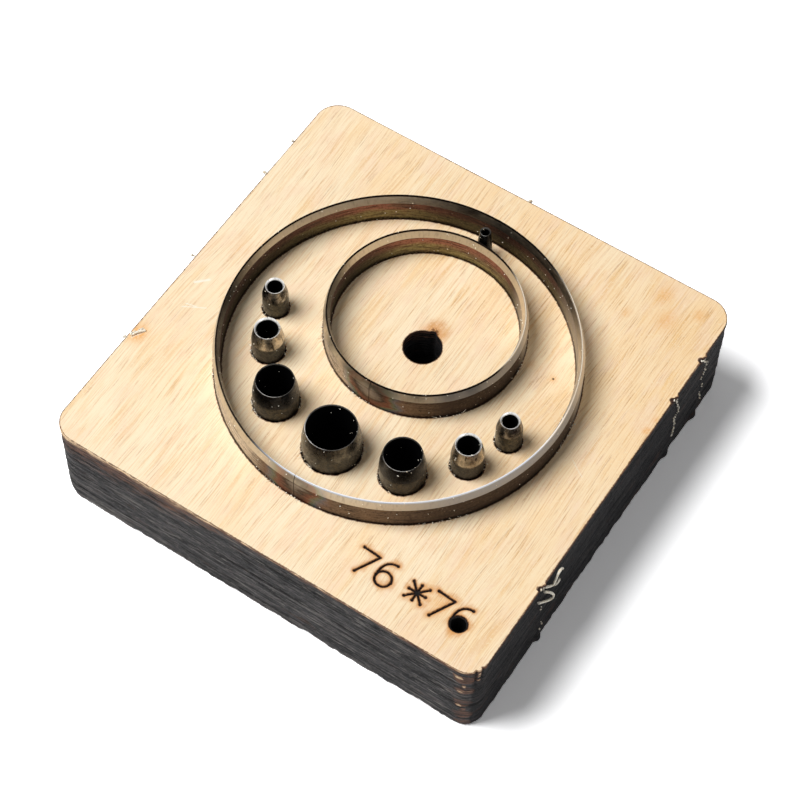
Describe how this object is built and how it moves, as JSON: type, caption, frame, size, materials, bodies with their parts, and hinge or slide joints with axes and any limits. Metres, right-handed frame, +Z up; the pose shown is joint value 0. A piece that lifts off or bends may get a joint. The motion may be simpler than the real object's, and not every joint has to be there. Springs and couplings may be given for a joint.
{
  "type": "steel rule die",
  "caption": "Steel rule cutting die: ring rules and a crescent of tube punches set in a square laser-cut plywood board.",
  "frame": {"origin": "centre of the board's underside", "axes": "+Z up, towards the cutting edges; +X to the right and -Y to the front, where the crescent of punches is"},
  "size_m": [0.076, 0.076, 0.024],
  "materials": {
    "birch_ply": "raw sanded face, laser-charred edges",
    "rule_steel": "oiled, tempered brown with a paler ground bevel",
    "bronzed_steel": "turned, bronze-brown with bright ground edge",
    "blackened_steel": "blackened, thin bright edge"
  },
  "bodies": {
    "root": {"die_board": "birch_ply", "outer_rule": "rule_steel", "inner_rule": "rule_steel", "fine_punch_left": "bronzed_steel", "small_punch_left": "bronzed_steel", "medium_punch_left": "blackened_steel", "large_punch": "blackened_steel", "medium_punch_right": "blackened_steel", "small_punch_right": "bronzed_steel", "fine_punch_right": "bronzed_steel", "pinhole_punch": "blackened_steel"}
  },
  "joints": []
}
